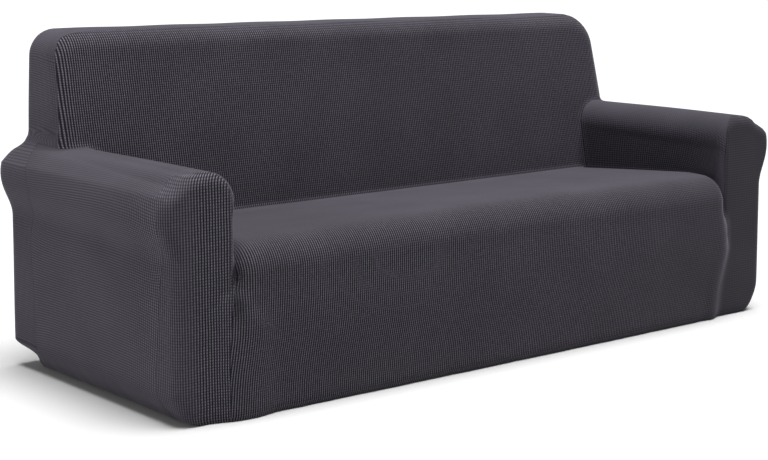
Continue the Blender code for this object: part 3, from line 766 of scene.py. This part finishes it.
def stitched(grids, found):
    """Points, places in the weave and faces of a panel, its grids joined where they share points."""
    points, spots, faces, known = [], [], [], {}
    for grid, place in zip(grids, found):
        rows, columns = grid.shape[:2]
        index = np.empty((rows, columns), int)
        keys = np.round(grid, 6) + 0.0
        for i in range(rows):
            for j in range(columns):
                key = tuple(keys[i, j])
                if key not in known:
                    known[key] = len(points)
                    points.append(grid[i, j])
                    spots.append(place[i, j])
                index[i, j] = known[key]
        corners = (index[:-1, :-1], index[:-1, 1:], index[1:, 1:], index[1:, :-1])
        faces.append(np.stack([corner.ravel() for corner in corners], axis=-1))
    return np.array(points), np.array(spots), np.concatenate(faces)


def facing_out(points, faces):
    """The faces, each turned so that it faces away from the sofa."""
    corners = points[faces]
    normal = np.cross(corners[:, 2] - corners[:, 0], corners[:, 3] - corners[:, 1])
    turned = np.sum(normal * outward(corners.mean(axis=1)), axis=1) < 0.0
    return np.where(turned[:, None], faces[:, ::-1], faces)


def open_edges(faces):
    """The edges that belong to one face only, in that face's direction."""
    edges = {}
    for face in faces.tolist():
        for a, b in zip(face, face[1:] + face[:1]):
            edges[(a, b)] = True
    return [(a, b) for a, b in edges if (b, a) not in edges]


def from_seam(points, rim):
    """Distance of each point from the nearest seam of its panel, the hem apart."""
    ends = np.array([(points[a], points[b]) for a, b in rim if max(points[a, 2], points[b, 2]) > 1e-6])
    start, run = ends[:, 0], ends[:, 1] - ends[:, 0]
    nearest = np.full(len(points), 1.0)
    for a, d in zip(start, run):
        along = np.clip(((points - a) @ d) / (d @ d), 0.0, 1.0)
        nearest = np.minimum(nearest, np.linalg.norm(points - a - along[:, None] * d, axis=1))
    return nearest


def cloth_sheet(points, faces):
    """Gives a panel its thickness, and draws its rim back from the seams."""
    normals = outward(points)
    rim = open_edges(faces)
    pull = {}
    for a, b in rim:
        run = points[b] - points[a]
        for i in (a, b):
            inward = np.cross(normals[i], run)
            pull.setdefault(i, []).append(inward / np.linalg.norm(inward))
    outer = points + normals * crease(points)[:, None]
    for i, ways in pull.items():
        mitre = sum(ways) / max(0.4, 1.0 + float(np.dot(ways[0], ways[-1])))
        outer[i] = outer[i] + mitre * SEAM_GAP / 2.0
    inner = outer - normals * CLOTH
    outer[points[:, 2] < 1e-6, 2] = 0.0
    inner[points[:, 2] < 1e-6, 2] = 0.0
    count = len(points)
    shell = faces.tolist() + (faces[:, ::-1] + count).tolist()
    shell += [(b, a, a + count, b + count) for a, b in rim]
    return np.concatenate([outer, inner]), shell, rim


print("cloth", CLOTH * 1000.0, "mm thick")

# %% [markdown]
# ## Where the weave shows
# The same cloth looks different from place to place. Pulled down over the arm fronts and the skirt,
# its columns stand apart with dark gaps. Pressed flat on the seat and on top of the arms, it is
# nearly smooth. Along the sides of the arms only the rows are left, as fine ridges.
#
# One material for each look would leave a hard line between them. So each point of a sheet carries
# three numbers, which fade into each other over the cloth: how deep the gaps between columns are,
# how deep those between rows are, and a tone. In places the tone is painted shade and light: darker
# in the crease at the left arm front, on the seat beside that arm and on the right arm front, which
# is turned from the light, and paler inside the right arm, which lies in shade.

# %% How deep the gaps are, place by place
# Each of these gives depth between columns, depth between rows and a tone, which in places is painted shade
# and light. x runs along the sofa.

def fade(share, low, high):
    """low where share is 0, high where it is 1."""
    return low + (high - low) * share


def on_seat(x, y, z):
    """Deep columns on the skirt, nearly smooth on the seat, with painted shade in the crease at the left arm
    front and on the seat beside that arm.
    """
    top = ease((y + 0.415) / 0.060)
    columns = np.interp(x, (-0.8, -0.2, 0.45, 0.78), (1.0, 0.95, 0.85, 0.35))
    rows = np.interp(x, (-0.8, 0.3, 0.75), (0.50, 0.60, 0.75))
    tone = 0.88 - 0.14 * ease((z - 0.33) / 0.05)
    # painted shade: the seat grows darker towards the left arm, which shades it
    seat_painted_shade = np.interp(x, (-0.85, -0.45, -0.10), (0.76, 0.80, 0.96))
    # painted shade in the crease between the skirt and the left arm front
    tuck = np.hypot(x + 0.872, 0.5 * (z - 0.29))
    tone = tone * (1.0 - 0.70 * np.exp(-(tuck / 0.020) ** 2))
    return fade(top, columns, 0.10), fade(top, rows, 0.12), fade(top, tone, seat_painted_shade)


def on_inside_back(x, y, z):
    """Columns that grow fainter to the right, and a little shade above the seat."""
    columns = np.interp(x, (-0.9, -0.4, 0.2, 0.9), (1.0, 0.90, 0.75, 0.60))
    rows = np.interp(x, (-0.9, 0.0, 0.9), (0.70, 0.70, 0.80))
    tone = np.interp(x, (-0.9, 0.0, 0.9), (0.96, 0.87, 0.96)) * (1.0 - 0.16 * ease((0.52 - z) / 0.14))
    return columns, rows, tone


def on_outside_back(x, y, z):
    """Rows on the sides and behind, nearly smooth over the top."""
    top = ease((z - 0.845) / 0.020)
    return fade(top, 0.25, 0.10), fade(top, 0.60, 0.15), fade(top, 1.02, 1.05)


def on_left_sleeve(x, y, z):
    """Rows along the side, with columns showing towards the front and on the inside."""
    front = ease((-0.16 - y) / 0.20)
    top = ease((z - 0.50) / 0.05)
    inside = ease((x + 0.90) / 0.03)
    columns = fade(inside, fade(front, 0.10, 0.55), 0.7)
    return columns, fade(top, 0.80, 0.60), fade(top, 1.16, 0.95)


def on_right_sleeve(x, y, z):
    """Both on the inside of the arm, little of either on top. Painted light makes the inside paler, lifting
    the shade that lies there.
    """
    top = ease((z - 0.53) / 0.03)
    return fade(top, 0.45, 0.15), fade(top, 0.70, 0.30), fade(top, 1.18, 0.97)


def on_left_front(x, y, z):
    """Deep columns, pressed flat along the seam with the inside of the arm. Painted shade darkens the crease
    where that seam meets the skirt.
    """
    edge = ease((x + 0.885) / 0.020) * ease((z - 0.30) / 0.05)
    outer = ease((-0.955 - x) / 0.040)
    # painted shade in the crease between the arm front and the skirt
    tuck = np.hypot(x + 0.872, 0.5 * (z - 0.29))
    tone = 0.98 * (1.0 - 0.70 * np.exp(-(tuck / 0.014) ** 2))
    return fade(edge, fade(outer, 1.0, 0.6), 0.25), fade(outer, 0.75, 0.55), tone


def on_right_front(x, y, z):
    """Rows alone, and darker, because it is turned from the light."""
    return tuple(np.full_like(x, value) for value in (0.12, 0.50, 0.69))


SHOWN = {
    "seat_and_skirt": on_seat,
    "inside_back": on_inside_back,
    "outside_back": on_outside_back,
    "arm_sleeve_left": on_left_sleeve,
    "arm_sleeve_right": on_right_sleeve,
    "arm_front_left": on_left_front,
    "arm_front_right": on_right_front,
}


def shown(name, p):
    """Depth between columns, depth between rows and tone, with its painted shade and light, at each point of
    a panel.
    """
    return np.stack(SHOWN[name](p[:, 0], p[:, 1], p[:, 2]), axis=-1)


print("looks set for", len(SHOWN), "panels")

# %% [markdown]
# ## Building the panels
# Every panel now has its points, its place in the weave and its look. They become one mesh each, so
# that the library can tell the pieces apart. Joining them all would lose the seams between them.

# %% One object for each panel
cover_parts = {}
for name, grids in panels.items():
    points, spots, faces = stitched(grids, weave_places[name])
    faces = facing_out(points, faces)
    vertices, shell, rim = cloth_sheet(points, faces)
    mesh = bpy.data.meshes.new(name + "_cloth")
    mesh.from_pydata((vertices + TO_MIDDLE).tolist(), [], shell)
    spots = np.concatenate([spots, spots])
    corner_of = np.empty(len(mesh.loops), np.int32)
    mesh.loops.foreach_get("vertex_index", corner_of)
    mesh.uv_layers.new(name="weave").data.foreach_set("uv", spots[corner_of].ravel())
    seam = mesh.attributes.new("from_seam", "FLOAT", "POINT")
    seam.data.foreach_set("value", np.tile(from_seam(points, rim), 2))
    look = mesh.attributes.new("shown", "FLOAT_VECTOR", "POINT")
    look.data.foreach_set("vector", np.tile(shown(name, points), (2, 1)).ravel())
    mesh.shade_smooth()
    mesh.set_sharp_from_angle(angle=math.radians(50.0))
    piece = bpy.data.objects.new(name + "_cloth", mesh)
    bpy.context.scene.collection.objects.link(piece)
    cover_parts[name] = piece
    print(piece.name, len(mesh.vertices), "points")

# %% [markdown]
# ## The cloth
# Charcoal yarn with a touch of purple. Close up, each dot of the weave is a soft pad that catches
# the light, and the gaps between the columns lie in shade. Where the cloth is pulled flat, as over
# the seat, the pads sink into it and only a fine grain is left.
#
# A bump map alone would leave the gaps as light as the dots, so one pattern drives both the colour
# and the bump. Sheen gives the pale bloom that a napped cloth has where it's seen at a low angle.

# %% Small helpers for node trees
class Tree:
    """A node tree that is written as nested calls."""

    def __init__(self, tree):
        self.nodes, self.links = tree.nodes, tree.links

    def put(self, kind, *inputs, **settings):
        """Adds a node, links or sets its first inputs, and returns its first output."""
        node = self.nodes.new(kind)
        for key, value in settings.items():
            setattr(node, key, value)
        for socket, value in zip(node.inputs, inputs):
            self.feed(socket, value)
        return node.outputs[0]

    def feed(self, socket, value):
        if isinstance(value, bpy.types.NodeSocket):
            self.links.new(value, socket)
        elif value is not None:
            socket.default_value = value

    def math(self, operation, *inputs):
        return self.put("ShaderNodeMath", *inputs, operation=operation)

    def blend(self, share, low, high):
        """low where share is 0, high where it is 1."""
        return self.math("ADD", low, self.math("MULTIPLY", share, self.math("SUBTRACT", high, low)))


print("node helpers ready")

# %% The woven cloth
# GAP_SHADE is painted shade: the gaps between the dots are coloured as the shade that lies in them
GAP_SHADE = (0.0030, 0.0027, 0.0038, 1.0)  # between the dots
DOT_SHADE = (0.122, 0.111, 0.142, 1.0)     # on the dots
FLAT_COLUMN = 0.38         # how pale the cloth is where its columns are pressed flat
FLAT_ROW = 0.80            # the same for its rows
COLUMN_SHARPNESS = 4.5     # how narrow the pale part of a column is
WANDER_SCALE = 12.0        # how closely the columns wander, and by how many dots
WANDER = 0.5
CLOUD_SCALE = 5.0          # large uneven patches
FIBRE_SCALE = 900.0        # the nap's fine grain
BASE_TONE = 0.54           # what those, and the chance shade of each dot, are added to
GROOVE = 0.0025            # how far the shade of a seam reaches
GROOVE_SHADE = 0.30        # and how dark it is


def woven_cloth(name):
    """Jacquard with dots in columns and rows, as deep as each place says, and darkened or lightened by the
    painted shade and light of each place.
    """
    material = bpy.data.materials.new(name)
    material.use_nodes = True
    tree = Tree(material.node_tree)
    shader = material.node_tree.nodes["Principled BSDF"]
    spot = tree.put("ShaderNodeUVMap", uv_map="weave")
    parts = tree.put("ShaderNodeSeparateXYZ", spot).node.outputs
    space = tree.put("ShaderNodeTexCoord").node.outputs["Object"]
    shown_here = tree.put("ShaderNodeAttribute", attribute_name="shown").node.outputs["Vector"]
    here = tree.put("ShaderNodeSeparateXYZ", shown_here).node.outputs
    seam = tree.put("ShaderNodeAttribute", attribute_name="from_seam").node.outputs["Fac"]

    wander = tree.put("ShaderNodeTexNoise", space).node
    wander.inputs["Scale"].default_value = WANDER_SCALE
    drift = tree.math("MULTIPLY", tree.math("SUBTRACT", wander.outputs["Fac"], 0.5), WANDER)
    across = tree.math("ADD", parts["X"], drift)
    column = tree.math("ABSOLUTE", tree.math("SINE", tree.math("MULTIPLY", across, math.pi)))
    column = tree.math("POWER", column, COLUMN_SHARPNESS)
    row = tree.math("ABSOLUTE", tree.math("SINE", tree.math("MULTIPLY", parts["Y"], math.pi)))
    column = tree.blend(here["X"], FLAT_COLUMN, column)
    pad = tree.math("MULTIPLY", column, tree.blend(here["Y"], FLAT_ROW, row))

    cell = tree.put("ShaderNodeCombineXYZ", tree.math("FLOOR", across), tree.math("FLOOR", parts["Y"]))
    chance = tree.put("ShaderNodeTexWhiteNoise", cell, noise_dimensions="2D").node.outputs["Value"]
    cloud = tree.put("ShaderNodeTexNoise", space).node
    cloud.inputs["Scale"].default_value = CLOUD_SCALE
    cloud.inputs["Detail"].default_value = 4.0
    fibre = tree.put("ShaderNodeTexNoise", space).node
    fibre.inputs["Scale"].default_value = FIBRE_SCALE
    uneven = tree.math("MULTIPLY", tree.math("MULTIPLY", chance, 0.30), here["X"])
    uneven = tree.math("ADD", uneven, tree.math("MULTIPLY", cloud.outputs["Fac"], 0.5))
    uneven = tree.math("ADD", uneven, tree.math("MULTIPLY", fibre.outputs["Fac"], 0.25))
    shade = tree.math("MULTIPLY", pad, tree.math("ADD", BASE_TONE, uneven))
    groove = tree.math("SUBTRACT", 1.0, tree.math("DIVIDE", seam, GROOVE))
    groove = tree.math("MULTIPLY", tree.math("MAXIMUM", groove, 0.0), GROOVE_SHADE)
    shade = tree.math("MULTIPLY", shade, tree.math("SUBTRACT", 1.0, groove))
    # the tone of each place multiplies the colour: painted shade and painted light
    shade = tree.math("MULTIPLY", shade, here["Z"])
    mix = tree.put("ShaderNodeMix", data_type="RGBA").node
    tree.feed(mix.inputs["Factor"], shade)
    tree.feed(mix.inputs[6], GAP_SHADE)
    tree.feed(mix.inputs[7], DOT_SHADE)
    tree.links.new(mix.outputs[2], shader.inputs["Base Color"])

    relief = tree.math("ADD", pad, tree.math("MULTIPLY", fibre.outputs["Fac"], 0.15))
    bump = tree.put("ShaderNodeBump").node
    bump.inputs["Distance"].default_value = 0.0007
    bump.inputs["Strength"].default_value = 0.6
    tree.links.new(relief, bump.inputs["Height"])
    tree.links.new(bump.outputs["Normal"], shader.inputs["Normal"])
    shader.inputs["Roughness"].default_value = 0.85
    shader.inputs["Specular IOR Level"].default_value = 0.15
    shader.inputs["Sheen Weight"].default_value = 0.12
    shader.inputs["Sheen Roughness"].default_value = 0.35
    shader.inputs["Sheen Tint"].default_value = (0.80, 0.76, 0.88, 1.0)
    return material


cloth = woven_cloth("charcoal_jacquard")
for piece in cover_parts.values():
    piece.data.materials.append(cloth)
print(cloth.name, "on", len(cover_parts), "pieces")

# %% [markdown]
# ## Stitches
# The hem is turned up and stitched over its elastic, and the seams round the arm fronts and round
# the back have a row of stitches that holds their allowance flat. That makes some two thousand
# stitches, all alike, so they are placed by Geometry Nodes: each row is a line of points on the
# cloth, the tree walks along it with an even step and puts one stitch at each place, and the result
# is kept as a plain mesh. A texture could draw them, but would not stand out at the outline.
#
# A row lies at a fixed distance from an edge of its panel, found by walking into the panel's grid.

# %% Rows that the stitches follow
HEM_ROW = 0.012            # from the hem to its stitches
SEAM_ROW = 0.0035          # from a seam to its stitches
# panel: which grid, which edge of it, and how far from that edge
ROWS = {
    "seat_and_skirt": ((0, "last row", HEM_ROW),),
    "outside_back": ((0, "first row", HEM_ROW), (2, "last row", HEM_ROW),
                     (3, "last row", HEM_ROW), (1, "first row", SEAM_ROW)),
    "arm_sleeve_left": ((0, "last row", HEM_ROW),),
    "arm_sleeve_right": ((0, "last row", HEM_ROW),),
    "arm_front_left": ((0, "first row", HEM_ROW), (0, "last row", SEAM_ROW),
                       (0, "last column", SEAM_ROW)),
    "arm_front_right": ((0, "first row", HEM_ROW), (0, "last row", SEAM_ROW),
                        (0, "last column", SEAM_ROW)),
}


def row_inside(grid, edge, distance):
    """Points on the cloth along an edge of a grid, a distance inside it."""
    if edge.endswith("column"):
        grid = grid.swapaxes(0, 1)
    if edge.startswith("last"):
        grid = grid[::-1]
    run = runs(grid, 0)
    line = np.array([[np.interp(distance, run[:, j], grid[:, j, i]) for i in range(3)]
                     for j in range(grid.shape[1])])
    return line + outward(line) * crease(line)[:, None]


def row_lines(name):
    """All rows of one panel as points and edges."""
    points, edges = [], []
    for which, edge, distance in ROWS[name]:
        line = row_inside(panels[name][which], edge, distance)
        edges += [(len(points) + i, len(points) + i + 1) for i in range(len(line) - 1)]
        points += (line + TO_MIDDLE).tolist()
    return points, edges


print("rows of stitches:", sum(len(rows) for rows in ROWS.values()))

# %% A Geometry Nodes tree that sews along a line
STITCH_POINTS = 12         # points of one stitch, which is a ball of 20 faces drawn out long
UNEVEN_STITCH = (0.85, 1.1)    # shortest and longest, as a share of the length asked for


def socket(tree, name, kind, way="INPUT"):
    """Adds a named input or output to a tree, and returns the identifier that it is set by."""
    return tree.interface.new_socket(name, in_out=way, socket_type="NodeSocket" + kind).identifier


sewing = bpy.data.node_groups.new("sewing", "GeometryNodeTree")
inputs = {name: socket(sewing, name, kind) for name, kind in (
    ("Rows", "Geometry"), ("Step", "Float"), ("Length", "Float"), ("Thickness", "Float"),
    ("Seed", "Int"), ("Thread", "Material"))}
socket(sewing, "Stitches", "Geometry", "OUTPUT")
tree = Tree(sewing)
given = sewing.nodes.new("NodeGroupInput").outputs
line = tree.put("GeometryNodeMeshToCurve", given["Rows"])
dotted = tree.put("GeometryNodeCurveToPoints", line, None, given["Step"], mode="LENGTH").node.outputs
turn = tree.put("FunctionNodeAlignRotationToVector", None, None, dotted["Tangent"], axis="X")
uneven = tree.put("FunctionNodeRandomValue", data_type="FLOAT").node
uneven.inputs[2].default_value, uneven.inputs[3].default_value = UNEVEN_STITCH
tree.feed(uneven.inputs["Seed"], given["Seed"])
long_way = tree.math("MULTIPLY", given["Length"], uneven.outputs[1])
size = tree.put("ShaderNodeCombineXYZ", long_way, given["Thickness"], given["Thickness"])
stitch = tree.put("GeometryNodeMeshIcoSphere", 0.5, 1)
sewn = tree.put("GeometryNodeInstanceOnPoints", dotted["Points"], None, stitch, None, None, turn, size)
plain = tree.put("GeometryNodeRealizeInstances", sewn)
dyed = tree.put("GeometryNodeSetMaterial", plain)
tree.feed(dyed.node.inputs["Material"], given["Thread"])
sewing.links.new(dyed, sewing.nodes.new("NodeGroupOutput").inputs[0])
print("inputs of the tree:", ", ".join(inputs))

# %% Sewing the rows
thread = bpy.data.materials.new("charcoal_thread")
thread.use_nodes = True
thread_shader = thread.node_tree.nodes["Principled BSDF"]
thread_shader.inputs["Base Color"].default_value = (0.050, 0.046, 0.058, 1.0)
thread_shader.inputs["Roughness"].default_value = 0.7
values = {"Step": 0.0048, "Length": 0.0036, "Thickness": 0.0009, "Seed": 7, "Thread": thread}

stitches = {}
for name in ROWS:
    mesh = bpy.data.meshes.new(name + "_rows")
    mesh.from_pydata(*row_lines(name), [])
    piece = bpy.data.objects.new(name + "_stitches", mesh)
    bpy.context.scene.collection.objects.link(piece)
    modifier = piece.modifiers.new("sewing", "NODES")
    modifier.node_group = sewing
    for key, value in values.items():
        modifier[inputs[key]] = value
    ready = piece.evaluated_get(bpy.context.evaluated_depsgraph_get())
    sewn_mesh = bpy.data.meshes.new_from_object(ready)
    piece.modifiers.remove(modifier)
    piece.data = sewn_mesh
    stitches[name] = piece
    print(piece.name, len(sewn_mesh.vertices) // STITCH_POINTS, "stitches")

# %% [markdown]
# ## Each piece in place of its solid
# Each panel stands for the solid of the same name, which is hidden. All the pieces are one cover that
# lies still, so they ride on its one fixed body. Each panel is a sheet of cloth, stretched over the
# sofa, cut a little smaller than the surface it now covers. Its stitches ride on the same body.

# %% Bodies, and the solids the panels stand for
for name, piece in cover_parts.items():
    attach(piece, "root")
    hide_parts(name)
    sewn_on = [stitches[name]] if name in stitches else []
    for extra in sewn_on:
        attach(extra, "root")
    print(piece.name, "stands for", name)

# %% [markdown]
# ## Floor, light and camera
# The photo was taken in a bright studio with a white ground. Its light comes from a broad source
# overhead: the seat and the tops of the arms are the palest parts, the inside of the right arm lies
# in shade, and there is hardly a shadow on the ground. A wide sun gives that. A low softbox on the
# left lifts the side of the left arm, which the photo shows paler than the front of the skirt.
#
# A sky texture would tint the charcoal, so the rest of the light is plain white. The camera stands
# where the sofa's straight edges meet in the photo, with a long lens from about five metres.

# %% Floor
FLOOR = -0.001             # just under the hem
FLOOR_SHADE = (0.43, 0.43, 0.43, 1.0)
bpy.ops.mesh.primitive_plane_add(size=120.0, location=(0.0, 0.0, FLOOR))
floor = bpy.context.object
floor.name = "floor"
paint = bpy.data.materials.new("pale_floor")
paint.use_nodes = True
paint.node_tree.nodes["Principled BSDF"].inputs["Base Color"].default_value = FLOOR_SHADE
paint.node_tree.nodes["Principled BSDF"].inputs["Roughness"].default_value = 0.9
floor.data.materials.append(paint)
print("floor at", FLOOR)

# %% Light
OVERHEAD_FROM = (0.06, -0.12, 0.99)    # nearly straight above, a little in front
world = bpy.data.worlds.new("studio")
bpy.context.scene.world = world
world.use_nodes = True
world.node_tree.nodes["Background"].inputs["Color"].default_value = (1.0, 1.0, 1.0, 1.0)
world.node_tree.nodes["Background"].inputs["Strength"].default_value = 0.30

key = bpy.data.lights.new("overhead", "SUN")
key.energy = 7.4
key.angle = math.radians(40.0)
overhead = bpy.data.objects.new("overhead", key)
overhead.rotation_mode = "QUATERNION"
overhead.rotation_quaternion = Vector(OVERHEAD_FROM).to_track_quat("Z", "Y")
bpy.context.scene.collection.objects.link(overhead)

softbox = bpy.data.lights.new("side_softbox", "AREA")
softbox.shape = "RECTANGLE"
softbox.size, softbox.size_y = 5.0, 0.9
softbox.energy = 70.0
side = bpy.data.objects.new("side_softbox", softbox)
side.location = (-4.6, 0.3, 0.45)
side.rotation_euler = (math.radians(90.0), 0.0, math.radians(-90.0))
bpy.context.scene.collection.objects.link(side)
bpy.context.scene.view_settings.view_transform = "Standard"
print("lights:", key.name, key.energy, "and", softbox.name, softbox.energy)

# %% Camera
SENSOR = 36.0              # width of the sensor, in mm
PHOTO_WIDTH = 768.0        # width of the photo in pixels, and the lens's length in the same unit
PHOTO_LENS = 1785.16
LOOKING_DOWN = 10.112      # degrees below level
TURNED = -38.995           # degrees from looking straight at the back
lens = bpy.data.cameras.new("photo_camera")
lens.sensor_width = SENSOR
lens.lens = PHOTO_LENS / PHOTO_WIDTH * SENSOR
lens.clip_end = 200.0
camera = bpy.data.objects.new("photo_camera", lens)
camera.location = (-3.164, -3.782, 1.183)
camera.rotation_euler = (math.radians(90.0 - LOOKING_DOWN), 0.0, math.radians(TURNED))
bpy.context.scene.collection.objects.link(camera)
bpy.context.scene.camera = camera
print("lens:", round(lens.lens, 1), "mm")
